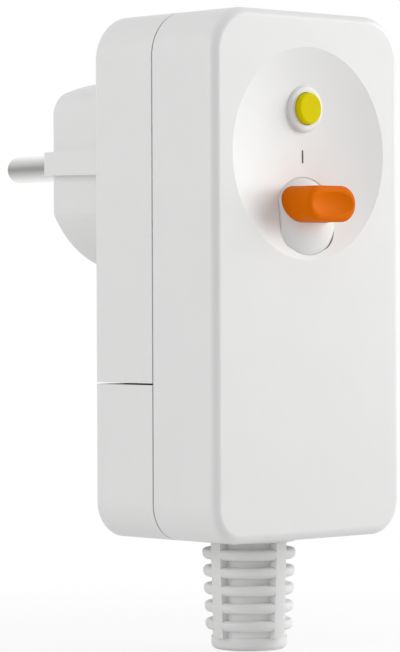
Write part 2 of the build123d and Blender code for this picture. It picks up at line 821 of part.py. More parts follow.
# Shutter: crowned drum segment that keeps the slot closed as the lever turns
with BuildPart() as lever_shutter:
    with BuildSketch(axle_plane):
        add(shutter_profile(0))
    revolve(axis=axle_axis)
    with BuildSketch(across(-shutter_half_width + shutter_cheek)):
        with Locations((axle_y, axle_z)):
            Circle(shutter_inner)
    extrude(amount=2 * (shutter_half_width - shutter_cheek), mode=Mode.SUBTRACT)
    with BuildSketch(across(-shutter_half_width)):
        low = math.radians(180 + shutter_below)
        high = math.radians(180 - shutter_above)
        reach = 2 * shutter_radius
        with BuildLine():
            Polyline(
                (axle_y, axle_z),
                (axle_y + reach * math.cos(high), axle_z + reach * math.sin(high)),
                (axle_y - reach, axle_z + reach / 2),
                (axle_y - reach, axle_z - reach / 2),
                (axle_y + reach * math.cos(low), axle_z + reach * math.sin(low)),
                (axle_y, axle_z),
            )
        make_face()
    extrude(amount=2 * shutter_half_width, mode=Mode.INTERSECT)
    with BuildSketch(across(-shutter_half_width)):
        with Locations((axle_y, axle_z)):
            Circle(hub_radius)
    extrude(amount=shutter_cheek)
    with BuildSketch(across(shutter_half_width - shutter_cheek)):
        with Locations((axle_y, axle_z)):
            Circle(hub_radius)
    extrude(amount=shutter_cheek)
    with BuildSketch(across(-shutter_half_width)):
        with Locations((axle_y, axle_z)):
            Circle(axle_radius + running_fit)
    extrude(amount=2 * shutter_half_width, mode=Mode.SUBTRACT)
    with BuildSketch(facing(axle_y)):
        with Locations((0, lever_z)):
            SlotOverall(lever_width + 2 * running_fit, lever_height + 2 * running_fit)
    extrude(amount=2 * shutter_radius, mode=Mode.SUBTRACT)
write(lever_shutter, "lever_shutter")

with BuildPart() as lever_axle:
    with BuildSketch(across(-axle_half_length)):
        with Locations((axle_y, axle_z)):
            Circle(axle_radius)
    extrude(amount=2 * axle_half_length)
    chamfer(lever_axle.edges().filter_by(GeomType.CIRCLE), axle_radius / 4)
write(lever_axle, "lever_axle")

# Mechanism base: carries the fixed contacts, the guide posts, the coil and the latch
base_height = base_top + base_below_plug
with BuildPart() as mechanism_base:
    with BuildSketch(facing(base_back)):
        with Locations((0, (base_top - base_below_plug) / 2)):
            Rectangle(2 * base_half_width, base_height)
        with Locations(*housing_screw_places):
            Circle(screw_boss_radius + slide_clearance, mode=Mode.SUBTRACT)
        with Locations((0, -base_below_plug)):
            Rectangle(clip_width + 2 * slide_clearance, base_notch, mode=Mode.SUBTRACT)
        for side in (-1, 1):
            with Locations((side * pin_x, supply_leg_z)):
                Rectangle(
                    supply_leg_width + 2 * slide_clearance,
                    strip_thickness + 2 * slide_clearance,
                    mode=Mode.SUBTRACT,
                )
    extrude(amount=base_thickness)
    with BuildSketch(facing(base_front)):
        for side in (-1, 1):
            with Locations((side * contact_spread, contact_low), (side * contact_spread, contact_high)):
                Rectangle(bridge_width, bridge_width - 2 * slide_clearance)
    extrude(amount=base_front - strip_back)
    with BuildSketch(facing(base_front)):
        with Locations((-guide_spread, carriage_mid), (guide_spread, carriage_mid)):
            Circle(guide_radius)
    extrude(amount=base_front - carriage_front + carriage_travel)
    with BuildSketch(facing(base_front)):
        with Locations((latch_x, latch_z)):
            Circle(latch_post_radius)
    extrude(amount=base_front - coil_y + latch_thickness)
write(mechanism_base, "mechanism_base")

# Contact carriage with its spring and the two contact bridges
with BuildPart() as contact_carriage:
    with BuildSketch(facing(carriage_back)):
        with Locations((0, carriage_mid)):
            Rectangle(2 * carriage_half_width, carriage_height)
    extrude(amount=carriage_depth)
    fillet(contact_carriage.edges().filter_by(Axis.Y), carriage_corner)
    with BuildSketch(facing(carriage_back - carriage_lug_inset)):
        with Locations((0, carriage_mid)):
            Rectangle(2 * guide_spread, 2 * guide_radius)
        with Locations((-guide_spread, carriage_mid), (guide_spread, carriage_mid)):
            Circle(guide_lug_radius)
    extrude(amount=carriage_lug_depth)
    with BuildSketch(facing(carriage_back)):
        with Locations((-guide_spread, carriage_mid), (guide_spread, carriage_mid)):
            Circle(guide_radius + running_fit)
    extrude(amount=carriage_depth, mode=Mode.SUBTRACT)
write(contact_carriage, "contact_carriage")

carriage_spring = spring(
    "carriage_spring",
    carriage_spring_radius,
    carriage_spring_wire,
    carriage_spring_turns,
    (0, carriage_back + spring_fit, carriage_mid),
    base_front - carriage_back - 2 * spring_fit,
    (0, 1, 0),
)
write(carriage_spring, "carriage_spring")

with BuildPart() as contact_bridges:
    for side in (-1, 1):
        with BuildSketch(facing(bridge_back)):
            with Locations((side * contact_spread, carriage_mid)):
                Rectangle(bridge_width, carriage_height - 2 * slide_clearance)
        extrude(amount=strip_thickness)
        with BuildSketch(facing(moving_face)):
            with Locations((side * contact_spread, contact_low), (side * contact_spread, contact_high)):
                Circle(contact_radius)
        extrude(amount=contact_depth)
write(contact_bridges, "contact_bridges")

# Supply strips: from each pin to its upper fixed contact
for pole, side in pole_sides.items():
    with BuildPart() as supply_strip:
        with BuildSketch(facing(strip_back)):
            with Locations((side * contact_spread, contact_high)):
                Rectangle(bridge_width, bridge_width - 2 * slide_clearance)
            with Locations((side * (contact_spread + pin_x) / 2, supply_leg_z)):
                Rectangle(pin_x - contact_spread + supply_leg_width, strip_neck)
        extrude(amount=strip_thickness)
        with BuildSketch(facing(pin_base + supply_lap)):
            with Locations((side * pin_x, supply_leg_z)):
                Rectangle(supply_leg_width, strip_thickness)
        extrude(amount=pin_base + supply_lap - strip_front)
        with BuildSketch(facing(strip_front)):
            with Locations((side * contact_spread, contact_high)):
                Circle(contact_radius)
        extrude(amount=contact_depth)
    write(supply_strip, f"{pole}_supply_strip")

# Load strips: from each lower fixed contact, through the current transformer, to a terminal
for pole, side in pole_sides.items():
    terminal_x = terminal_places[pole]
    with BuildPart() as load_strip:
        with BuildSketch(facing(strip_back)):
            with Locations((side * contact_spread, contact_low)):
                Rectangle(bridge_width, bridge_width - 2 * slide_clearance)
            with Locations((side * contact_spread, (contact_low + load_turn_z) / 2)):
                Rectangle(load_strip_width, contact_low - load_turn_z)
            with Locations((side * (contact_spread + load_core_x) / 2, load_turn_z)):
                Rectangle(contact_spread - load_core_x + load_strip_width, load_strip_width)
            with Locations((side * load_core_x, (load_turn_z + load_exit_z) / 2)):
                Rectangle(load_core_width, load_turn_z - load_exit_z)
            with Locations(((side * load_core_x + terminal_x) / 2, load_exit_z)):
                Rectangle(abs(terminal_x) - load_core_x + load_strip_width, load_strip_width)
            with Locations((terminal_x, (tab_top + tab_low) / 2)):
                Rectangle(terminal_tab_width, tab_top - tab_low)
            with Locations((terminal_x, terminal_z)):
                Circle(terminal_screw_radius + running_fit, mode=Mode.SUBTRACT)
        extrude(amount=strip_thickness)
        with BuildSketch(facing(strip_front)):
            with Locations((side * contact_spread, contact_low)):
                Circle(contact_radius)
        extrude(amount=contact_depth)
    write(load_strip, f"{pole}_load_strip")

# Trip coil: bobbin, winding, yoke and plunger
with BuildPart() as coil_bobbin:
    with BuildSketch(across(coil_centre_x - coil_length / 2)):
        with Locations((coil_y, coil_z)):
            Circle(bobbin_radius)
    extrude(amount=coil_length)
    for flange_x in (coil_centre_x - coil_length / 2, coil_end - bobbin_flange):
        with BuildSketch(across(flange_x)):
            with Locations((coil_y, coil_z)):
                Circle(coil_radius)
        extrude(amount=bobbin_flange)
    with BuildSketch(across(coil_centre_x - coil_length / 2)):
        with Locations((coil_y, coil_z)):
            Circle(plunger_radius + running_fit)
    extrude(amount=coil_length, mode=Mode.SUBTRACT)
write(coil_bobbin, "coil_bobbin")

with BuildPart() as coil_winding:
    with BuildSketch(across(coil_centre_x - coil_length / 2 + bobbin_flange + running_fit)):
        with Locations((coil_y, coil_z)):
            Circle(coil_radius - winding_inset)
            Circle(bobbin_radius + running_fit, mode=Mode.SUBTRACT)
    extrude(amount=coil_length - 2 * bobbin_flange - 2 * running_fit)
write(coil_winding, "coil_winding")

yoke_back = base_front - rest_gap
with BuildPart() as coil_yoke:
    with BuildSketch(Plane.XY.offset(coil_z - coil_radius)):
        with Locations((coil_centre_x, yoke_back - yoke_thickness / 2)):
            Rectangle(coil_length + 2 * yoke_thickness + 2 * rest_gap, yoke_thickness)
        yoke_reach = yoke_back - coil_y + coil_radius
        for side in (-1, 1):
            yoke_x = coil_centre_x + side * (coil_length / 2 + rest_gap + yoke_thickness / 2)
            with Locations((yoke_x, yoke_back - yoke_reach / 2)):
                Rectangle(yoke_thickness, yoke_reach)
    extrude(amount=2 * coil_radius)
    with BuildSketch(across(coil_centre_x - coil_length)):
        with Locations((coil_y, coil_z)):
            Circle(plunger_radius + slide_clearance)
    extrude(amount=2 * coil_length, mode=Mode.SUBTRACT)
write(coil_yoke, "coil_yoke")

with BuildPart() as trip_plunger:
    with BuildSketch(across(plunger_end - plunger_length)):
        with Locations((coil_y, coil_z)):
            Circle(plunger_radius)
    extrude(amount=plunger_length)
    chamfer(trip_plunger.edges().filter_by(GeomType.CIRCLE), plunger_radius / 4)
write(trip_plunger, "trip_plunger")

with BuildPart() as trip_latch:
    with BuildSketch(facing(coil_y + latch_thickness / 2)):
        with Locations((latch_x, (coil_z + latch_arm_over + latch_nose_z) / 2)):
            Rectangle(latch_width, coil_z + latch_arm_over - latch_nose_z)
        with Locations((latch_x - latch_width / 2, latch_nose_z + latch_width / 4)):
            Rectangle(2 * latch_width, latch_width / 2)
        with Locations((latch_x, latch_z)):
            Circle(latch_hub_radius)
            Circle(latch_post_radius + running_fit, mode=Mode.SUBTRACT)
    extrude(amount=latch_thickness)
write(trip_latch, "trip_latch")

# Current transformer: core and its sensing winding
with BuildPart() as transformer_core:
    with BuildSketch(Plane.XY.offset(toroid_z - toroid_height / 2)):
        with Locations((0, toroid_y)):
            Circle(toroid_radius)
            Circle(toroid_bore, mode=Mode.SUBTRACT)
    extrude(amount=toroid_height)
write(transformer_core, "transformer_core")

core_width = toroid_radius - toroid_bore
core_middle = (toroid_radius + toroid_bore) / 2
winding_plane = Plane(origin=(0, toroid_y, toroid_z), x_dir=(0, -1, 0), z_dir=(1, 0, 0))
with BuildPart() as sensing_winding:
    with BuildSketch(winding_plane):
        with Locations((core_middle, 0)):
            Rectangle(core_width + 2 * winding_thickness, toroid_height + 2 * winding_thickness)
            Rectangle(
                core_width + 2 * running_fit,
                toroid_height + 2 * running_fit,
                mode=Mode.SUBTRACT,
            )
    revolve(axis=Axis((0, toroid_y, 0), (0, 0, 1)), revolution_arc=winding_sweep)
write(sensing_winding, "sensing_winding")

# Circuit board and the parts soldered on it
with BuildPart() as circuit_board:
    with BuildSketch(facing(board_back)):
        with Locations((0, board_z)):
            RectangleRounded(board_width, board_height, board_corner)
    extrude(amount=board_thickness)
write(circuit_board, "circuit_board")

with BuildPart() as smoothing_capacitor:
    with BuildSketch(across(capacitor_x - capacitor_length / 2)):
        with Locations((board_back + capacitor_radius + running_fit, board_z + board_height / 4)):
            Circle(capacitor_radius)
    extrude(amount=capacitor_length)
    fillet(smoothing_capacitor.edges().filter_by(GeomType.CIRCLE), capacitor_radius / 6)
write(smoothing_capacitor, "smoothing_capacitor")

with BuildPart() as series_resistor:
    with BuildSketch(across(resistor_x - resistor_length / 2)):
        with Locations((board_back + resistor_radius + running_fit, board_z - board_height / 4)):
            Circle(resistor_radius)
    extrude(amount=resistor_length)
    fillet(series_resistor.edges().filter_by(GeomType.CIRCLE), resistor_radius / 3)
write(series_resistor, "series_resistor")

with BuildPart() as surge_varistor:
    with BuildSketch(across(varistor_x)):
        with Locations((board_back + varistor_radius + running_fit, board_z)):
            Circle(varistor_radius)
    extrude(amount=varistor_thickness)
    fillet(surge_varistor.edges(), varistor_thickness / 4)
write(surge_varistor, "surge_varistor")

with BuildPart() as control_chip:
    with BuildSketch(facing(board_back + running_fit + chip_height)):
        with Locations((capacitor_x, board_z - board_height / 4)):
            Rectangle(chip_length, chip_width)
    extrude(amount=chip_height)
    chamfer(control_chip.edges().group_by(Axis.Y)[-1], chip_height / 4)
write(control_chip, "control_chip")

# Plug pins and the carrier that holds them
for pole, side in pole_sides.items():
    with BuildPart() as pin:
        with BuildSketch(facing(pin_length)):
            with Locations((side * pin_x, 0)):
                Circle(pin_radius)
        extrude(amount=pin_length)
        fillet(pin.edges().group_by(Axis.Y)[-1], pin_tip_round)
        with BuildSketch(facing(0)):
            with Locations((side * pin_x, 0)):
                Circle(pin_shank_radius)
        extrude(amount=pin_shank)
        with BuildSketch(facing(carrier_front - rest_gap)):
            with Locations((side * pin_x, 0)):
                Circle(pin_flange_radius)
        extrude(amount=pin_flange_depth)
    write(pin, f"{pole}_pin")

with BuildPart() as pin_carrier:
    with BuildSketch(facing(-plug_face_wall - rest_gap)):
        add(plug_face(plug_wall + clip_groove_depth + slide_clearance))
        with Locations((-pin_x, 0), (pin_x, 0)):
            Circle(pin_shank_radius + running_fit, mode=Mode.SUBTRACT)
    extrude(amount=carrier_plate_depth)
write(pin_carrier, "pin_carrier")

# Earth clips on the plug and the strap that joins them to the earth terminal
for name, floor, side in (
    ("upper_earth_clip", clip_top_floor, 1),
    ("lower_earth_clip", clip_low_floor, -1),
):
    outer = floor + clip_fit
    with BuildPart() as earth_clip:
        with BuildSketch(across(-clip_width / 2)):
            with Locations((-(clip_length + clip_end_gap) / 2, side * (outer + clip_thickness / 2))):
                Rectangle(clip_length - clip_end_gap, clip_thickness)
            with Locations((-clip_length - clip_thickness / 2, side * (outer + clip_thickness + clip_leg_z) / 2)):
                Rectangle(clip_thickness, outer + clip_thickness - clip_leg_z)
        extrude(amount=clip_width)
        tip = earth_clip.edges().filter_by(Axis.X).group_by(Axis.Y)[-1]
        fillet(tip, clip_thickness / 3)
    write(earth_clip, name)

with BuildPart() as earth_strap:
    with BuildSketch(across(-strap_width / 2)):
        with Locations((strap_y - clip_thickness / 2, 0)):
            Rectangle(clip_thickness, 2 * (clip_leg_z + strap_lap))
        with Locations(((strap_y + strap_low_y) / 2 - clip_thickness / 2, -clip_leg_z - strap_lap)):
            Rectangle(strap_y - strap_low_y + clip_thickness, clip_thickness)
        strap_end_z = load_exit_z - load_strip_width / 2 - clip_thickness - slide_clearance
        strap_drop = strap_end_z + clip_leg_z + strap_lap
        with Locations((strap_low_y - clip_thickness / 2, (strap_end_z - clip_leg_z - strap_lap) / 2)):
            Rectangle(clip_thickness, -strap_drop + clip_thickness)
        with Locations(((strap_low_y + strip_front) / 2, strap_end_z)):
            Rectangle(strap_low_y - strip_front, clip_thickness)
    extrude(amount=strap_width)
    with BuildSketch(facing(strip_back)):
        with Locations((0, (strap_end_z + clip_thickness / 2 + tab_low) / 2)):
            Rectangle(strap_width, strap_end_z + clip_thickness / 2 - tab_low)
        with Locations((0, terminal_z)):
            Circle(terminal_screw_radius + running_fit, mode=Mode.SUBTRACT)
    extrude(amount=strip_thickness)
write(earth_strap, "earth_strap")

# Terminals on their moulded base, with their screws
with BuildPart() as terminal_base:
    with BuildSketch(facing(terminal_front - running_fit)):
        with Locations((0, terminal_z)):
            Rectangle(2 * terminal_spacing + terminal_width + wall, terminal_height + wall)
    extrude(amount=terminal_base_depth - running_fit - rest_gap)
write(terminal_base, "terminal_base")

for pole, terminal_x in terminal_places.items():
    with BuildPart() as terminal:
        with BuildSketch(facing(terminal_back)):
            with Locations((terminal_x, terminal_z)):
                Rectangle(terminal_width, terminal_height)
        extrude(amount=terminal_depth)
        fillet(terminal.edges().filter_by(Axis.Z), terminal_corner)
        with BuildSketch(Plane.XY.offset(terminal_z - terminal_height / 2)):
            with Locations((terminal_x, terminal_front + terminal_depth / 2)):
                Circle(terminal_hole_radius)
        extrude(amount=terminal_height, mode=Mode.SUBTRACT)
        with BuildSketch(facing(terminal_back)):
            with Locations((terminal_x, terminal_z)):
                Circle(terminal_screw_radius + running_fit)
        extrude(amount=terminal_depth / 2, mode=Mode.SUBTRACT)
    write(terminal, f"{pole}_terminal")

terminal_screw_places = [(terminal_x, terminal_z) for terminal_x in terminal_places.values()]
terminal_screw_head = strip_back + rest_gap + screw_head_depth
terminal_screws = screws(
    terminal_screw_places,
    terminal_screw_head,
    strip_back + rest_gap - terminal_back + terminal_screw_grip,
)
write(terminal_screws, "terminal_screws")

# Cord clamp bar across the cable way, and its screws
clamp_back = clamp_front + rest_gap + clamp_thickness
with BuildPart() as clamp_bar:
    with BuildSketch(Plane.XY.offset(clamp_z - clamp_height / 2)):
        with BuildLine():
            Polyline(
                (-clamp_half_width, clamp_back),
                (-clamp_half_width, clamp_back - clamp_thickness),
                (-clamp_arch_foot, clamp_back - clamp_thickness),
                (-clamp_arch_top, clamp_back - clamp_thickness + clamp_rise),
                (clamp_arch_top, clamp_back - clamp_thickness + clamp_rise),
                (clamp_arch_foot, clamp_back - clamp_thickness),
                (clamp_half_width, clamp_back - clamp_thickness),
                (clamp_half_width, clamp_back),
                (clamp_arch_foot, clamp_back),
                (clamp_arch_top, clamp_back + clamp_rise),
                (-clamp_arch_top, clamp_back + clamp_rise),
                (-clamp_arch_foot, clamp_back),
                (-clamp_half_width, clamp_back),
            )
        make_face()
    extrude(amount=clamp_height)
    with BuildSketch(facing(clamp_back)):
        with Locations(*clamp_screw_places):
            Circle(screw_radius + slide_clearance)
    extrude(amount=clamp_thickness, mode=Mode.SUBTRACT)
write(clamp_bar, "clamp_bar")

clamp_screws = screws(
    clamp_screw_places,
    clamp_back + rest_gap / 2 + screw_head_depth,
    clamp_thickness + thread_length,
)
write(clamp_screws, "clamp_screws")

# Screws that hold the shells and the terminal cover
shell_screw_head = casing_back - screw_head_clearance
shell_screw_length = shell_screw_head - screw_head_depth - front_edge + thread_length
housing_screws = screws(housing_screw_places, shell_screw_head, shell_screw_length)
write(housing_screws, "housing_screws")
cover_screws = screws(cover_screw_places, shell_screw_head, shell_screw_length)
write(cover_screws, "cover_screws")

# On mark: printed bar set in the dish above the lever
with BuildPart() as on_mark:
    with BuildSketch(facing(mark_floor - running_fit)):
        with Locations((0, mark_above_plug)):
            Rectangle(mark_width - 2 * running_fit, mark_height - 2 * running_fit)
    extrude(amount=mark_depth - running_fit)
write(on_mark, "on_mark")
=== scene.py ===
"""Finish of a plug-in residual current breaker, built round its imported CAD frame."""

import json
import math

import bpy
from mathutils import Matrix, Vector

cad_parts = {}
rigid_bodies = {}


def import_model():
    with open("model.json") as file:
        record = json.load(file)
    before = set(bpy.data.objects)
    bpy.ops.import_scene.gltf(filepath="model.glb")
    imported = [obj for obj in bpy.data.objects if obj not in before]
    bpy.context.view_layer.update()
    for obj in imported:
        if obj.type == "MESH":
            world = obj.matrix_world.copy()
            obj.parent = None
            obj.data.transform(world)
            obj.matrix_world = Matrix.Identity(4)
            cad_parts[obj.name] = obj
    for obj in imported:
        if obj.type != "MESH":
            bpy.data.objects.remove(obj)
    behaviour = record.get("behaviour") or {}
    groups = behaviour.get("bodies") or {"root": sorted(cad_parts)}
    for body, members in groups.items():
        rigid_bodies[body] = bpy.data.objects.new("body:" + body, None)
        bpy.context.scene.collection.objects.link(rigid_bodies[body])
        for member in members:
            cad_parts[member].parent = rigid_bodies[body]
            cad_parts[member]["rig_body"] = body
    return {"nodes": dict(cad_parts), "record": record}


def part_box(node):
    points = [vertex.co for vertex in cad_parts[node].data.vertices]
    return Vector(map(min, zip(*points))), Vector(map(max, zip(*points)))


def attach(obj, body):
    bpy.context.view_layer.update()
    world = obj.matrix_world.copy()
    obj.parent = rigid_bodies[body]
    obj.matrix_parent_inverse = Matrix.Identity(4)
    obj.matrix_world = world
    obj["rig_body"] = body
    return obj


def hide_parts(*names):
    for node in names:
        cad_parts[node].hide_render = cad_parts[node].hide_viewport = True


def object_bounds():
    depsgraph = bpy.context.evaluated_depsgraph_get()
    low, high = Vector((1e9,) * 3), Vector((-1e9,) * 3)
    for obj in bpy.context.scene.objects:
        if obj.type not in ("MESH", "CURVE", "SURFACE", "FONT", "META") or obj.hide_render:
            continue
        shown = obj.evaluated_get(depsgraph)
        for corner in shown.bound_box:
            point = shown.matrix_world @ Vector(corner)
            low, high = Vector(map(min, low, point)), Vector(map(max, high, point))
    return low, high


bl_info = {
    "name": "Residual current breaker",
    "version": (1, 0, 0),
    "blender": (4, 5, 0),
    "location": "View3D > Sidebar > Breaker",
    "description": "Builds the casing, boot, button, lever, plug and finishes of a plug-in breaker",
    "category": "Add Mesh",
}

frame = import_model()
CAD_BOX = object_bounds()
MM = 0.001

# Rim of the dish in the front shell, and how near an edge lies to count as part of it
CAD_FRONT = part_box("front_shell")[0][1]
DISH_RADIUS = 18.4 * MM
DISH_Z = 1.0 * MM
RIM_DEPTH_REACH = 0.02 * MM
RIM_RADIUS_REACH = 0.06 * MM

# Merging and shading of the copied meshes, angles in degrees
WELD_REACH = 0.002 * MM
FLAT_ANGLE = 0.02
SMOOTH_ANGLE = 35.0
BOOT_SMOOTH_ANGLE = 40.0
SHADING_WEIGHT = 80

# Features of the finishes
MOTTLE_SIZE = 9 * MM
SWELL_DEPTH = 0.02 * MM
METAL_CLOUD_SIZE = 3 * MM
LINE_SIZE = 0.6 * MM
LINE_DEPTH = 0.002 * MM
# Pins: their radius, over which the painted reflection on them grades, and the bright colour of
# that painted reflection above and below the middle
PIN_RADIUS = 2.4 * MM
PAINTED_REFLECTION_BRIGHT = (0.86, 0.86, 0.85)
WIRE = 0.2 * MM
SHEET = 0.5 * MM
SHEET_GROOVE = 0.02 * MM
WEAVE_SIZE = 0.9 * MM
WEAVE_DEPTH = 0.01 * MM
WEAVE_CLOUD_SIZE = 4 * MM
# Phase in radians that a wave texture of scale 1 runs through in one unit
WAVE_RATE = 20

# Studio: each lamp's place, width, height and power, in metres and watts
LAMP_TARGET = (0, -0.033, -0.02)
LAMPS = {
    "Key": ((1.02, -0.62, 0.22), 0.85, 1.0, 11.6),
    "Fill": ((-1.15, 0.35, 0.2), 0.9, 0.9, 5.5),
    "Top": ((-0.1, -0.2, 1.1), 0.8, 0.8, 1.5),
}
WHITE = (1, 1, 1, 1)
SKY_STRENGTH = 0.5
FLOOR_SIZE = 6
FLOOR_GAP = 0.2 * MM
FLOOR_COLOUR = (0.85, 0.85, 0.85, 1)
# Share of plain white in the floor near the object, and the radii between which it rises to 1
FLOOR_WHITE = 0.75
FADE_START = 30 * MM
FADE_END = 150 * MM

FILM_WIDTH = 36
NEAR_CLIP = 10 * MM


def colour_property(name, description, default):
    return bpy.props.FloatVectorProperty(
        name=name,
        description=description,
        subtype="COLOR",
        size=3,
        min=0,
        max=1,
        default=default,
    )


class BreakerSizes(bpy.types.PropertyGroup):
    """Sizes of the grain on the moulded plastic."""

    grain_size: bpy.props.FloatProperty(
        name="Grain size",
        description="Size of the fine grain on the moulded plastic",
        default=0.35 * MM,
        subtype="DISTANCE",
        unit="LENGTH",
    )
    grain_depth: bpy.props.FloatProperty(
        name="Grain depth",
        description="Depth of the fine grain on the moulded plastic",
        default=0.0015 * MM,
        subtype="DISTANCE",
        unit="LENGTH",
        precision=6,
    )


class BreakerColours(bpy.types.PropertyGroup):
    """Colours of the finishes."""

    shell: colour_property("Shell", "White of the casing, plug and shutter", (0.80, 0.80, 0.795))
    boot: colour_property("Boot", "White of the soft cable boot", (0.78, 0.78, 0.775))
    button: colour_property("Button", "Yellow of the test button", (0.79, 0.67, 0.0))
    lever: colour_property("Lever", "Orange of the toggle lever", (0.80, 0.165, 0.0))
    # The pin colour is also the dark middle of the painted reflection on the pins
    pin: colour_property("Pin", "Nickel of the plug's pins", (0.30, 0.30, 0.295))


def sizes():
    return bpy.context.scene.breaker_sizes


def colours():
    return bpy.context.scene.breaker_colours


# Materials


class NodeBench:
    """The node tree of a material or world, with short ways to add and join nodes."""

    def __init__(self, owner):
        owner.use_nodes = True
        self.nodes = owner.node_tree.nodes
        self.links = owner.node_tree.links

    def feed(self, node, inputs):
        """Fills sockets: a plain value stays on the socket, and an output is linked to it."""
        for name, value in inputs.items():
            if isinstance(value, bpy.types.NodeSocket):
                self.links.new(value, node.inputs[name])
            else:
                node.inputs[name].default_value = value

    def add(self, kind, inputs=None, **settings):
        node = self.nodes.new(kind)
        for name, value in settings.items():
            setattr(node, name, value)
        self.feed(node, inputs or {})
        return node

    def seen_directly(self):
        """1 where the camera, a gloss or a clear piece looks straight at a surface, else 0."""
        path = self.add("ShaderNodeLightPath").outputs
        seen = path["Is Camera Ray"]
        for ray in ("Is Glossy Ray", "Is Transmission Ray"):
            either = self.add("ShaderNodeMath", {0: seen, 1: path[ray]}, operation="MAXIMUM")
            seen = either.outputs[0]
        return seen


class Finish(NodeBench):
    """One material, with textures laid on the object's own coordinates."""

    def __init__(self, name):
        self.material = bpy.data.materials.new(name)
        super().__init__(self.material)
        self.shader = self.nodes["Principled BSDF"]
        self.place = self.add("ShaderNodeTexCoord").outputs["Object"]

    def noise(self, size, detail=2.0, roughness=0.5, stretch=None):
        place = self.place
        if stretch:
            mapping = self.add("ShaderNodeMapping", {"Vector": place, "Scale": stretch})
            place = mapping.outputs["Vector"]
        inputs = {"Vector": place, "Scale": 1 / size, "Detail": detail, "Roughness": roughness}
        return self.add("ShaderNodeTexNoise", inputs).outputs["Fac"]

    def bands(self, pitch, across, profile, distortion=0.0):
        """Waves across one axis, one to each pitch."""
        scale = 2 * math.pi / (WAVE_RATE * pitch)
        wave = self.add(
            "ShaderNodeTexWave",
            {"Vector": self.place, "Scale": scale, "Distortion": distortion},
            wave_type="BANDS",
            bands_direction=across,
            wave_profile=profile,
        )
        return wave.outputs["Fac"]

    def spread(self, value, low, high, start=0.3, end=0.7):
        """The value between start and end, mapped to low and high."""
        inputs = {"Value": value, "From Min": start, "From Max": end, "To Min": low, "To Max": high}
        return self.add("ShaderNodeMapRange", inputs).outputs["Result"]

    def blend(self, value, low, high, start=0.3, end=0.7):
        """A colour that goes from low to high as the value goes from start to end."""
        node = self.add("ShaderNodeValToRGB", {"Fac": value})
        for stop, place, colour in zip(node.color_ramp.elements, (start, end), (low, high)):
            stop.position = place
            stop.color = (*colour, 1)
        return node.outputs["Color"]

    def bump(self, height, depth, below=None):
        inputs = {"Height": height, "Distance": depth, "Strength": 1.0}
        if below:
            inputs["Normal"] = below
        return self.add("ShaderNodeBump", inputs).outputs["Normal"]

    def made_of(self, inputs):
        self.feed(self.shader, inputs)
        return self.material


def darker(colour, share):
    return tuple(c * share for c in colour)


def moulded_plastic(name, colour, roughness, grain=1.0, mottle=0.985, shine=0.45):
    """Moulded plastic: a fine spark-eroded grain, a faint mottle and an uneven gloss."""
    finish = Finish(name)
    cloud = finish.noise(MOTTLE_SIZE, detail=3)
    grain_height = finish.noise(sizes().grain_size, detail=3, roughness=0.6)
    swell = finish.bump(cloud, SWELL_DEPTH)
    return finish.made_of(
        {
            "Base Color": finish.blend(cloud, darker(colour, mottle), colour),
            "Roughness": finish.spread(grain_height, roughness - 0.05, roughness + 0.06),
            "Normal": finish.bump(grain_height, grain * sizes().grain_depth, swell),
            "IOR": 1.5,
            "Specular IOR Level": shine,
        }
    )


def brushed_metal(name, colour, roughness, stretch):
    """Metal with fine drawn lines along one direction."""
    finish = Finish(name)
    lines = finish.noise(LINE_SIZE, detail=4, roughness=0.7, stretch=stretch)
    cloud = finish.noise(METAL_CLOUD_SIZE, detail=3)
    return finish.made_of(
        {
            "Base Color": finish.blend(cloud, darker(colour, 0.9), colour),
            "Roughness": finish.spread(lines, roughness - 0.06, roughness + 0.08),
            "Normal": finish.bump(lines, LINE_DEPTH),
            "Metallic": 1.0,
        }
    )


def pin_with_painted_reflection(name, colour):
    """Nickel plating with a painted reflection: the base colour is darker along the middle of the
    sides and bright above and below.
    """
    finish = Finish(name)
    split = finish.add("ShaderNodeSeparateXYZ", {"Vector": finish.place})
    away = finish.add("ShaderNodeMath", {0: split.outputs["Z"]}, operation="ABSOLUTE")
    height = finish.spread(away.outputs[0], low=0.0, high=1.0, start=0.0, end=PIN_RADIUS)
    lines = finish.noise(LINE_SIZE, detail=4, roughness=0.7, stretch=(1, 0.15, 1))
    return finish.made_of(
        {
            # Painted reflection: the nickel colour at the middle height grades to the bright colour
            # above and below, standing in for a studio reflection
            "Base Color": finish.blend(height, colour, PAINTED_REFLECTION_BRIGHT, start=0.08, end=0.9),
            "Roughness": finish.spread(lines, low=0.2, high=0.3),
            "Normal": finish.bump(lines, LINE_DEPTH),
            "Metallic": 1.0,
        }
    )


def wound_wire(name, colour, wire, across):
    """Enamelled wire laid in close turns: bands across one axis with a round crown each, and
    painted shade that darkens the colour between the turns.
    """
    finish = Finish(name)
    turns = finish.bands(wire, across, "SIN", distortion=0.2)
    return finish.made_of(
        {
            # Painted shade: the base colour falls to about a third in the grooves between the turns
            "Base Color": finish.blend(turns, darker(colour, 0.35), colour, start=0.1, end=0.6),
            "Roughness": finish.spread(turns, low=0.45, high=0.28),
            "Normal": finish.bump(turns, 0.25 * wire),
            "Metallic": 0.8,
        }
    )


def circuit_laminate(name, colour):
    """Solder mask over the weave of a glass laminate."""
    finish = Finish(name)
    weave = finish.add(
        "ShaderNodeTexBrick",
        {"Vector": finish.place, "Scale": 1 / WEAVE_SIZE, "Mortar Size": 0.05},
        offset=0.5,
    )
    cloud = finish.noise(WEAVE_CLOUD_SIZE)
    return finish.made_of(
        {
            "Base Color": finish.blend(cloud, darker(colour, 0.8), colour),
            "Roughness": finish.spread(cloud, low=0.25, high=0.4),
            "Normal": finish.bump(weave.outputs["Fac"], WEAVE_DEPTH),
        }
    )


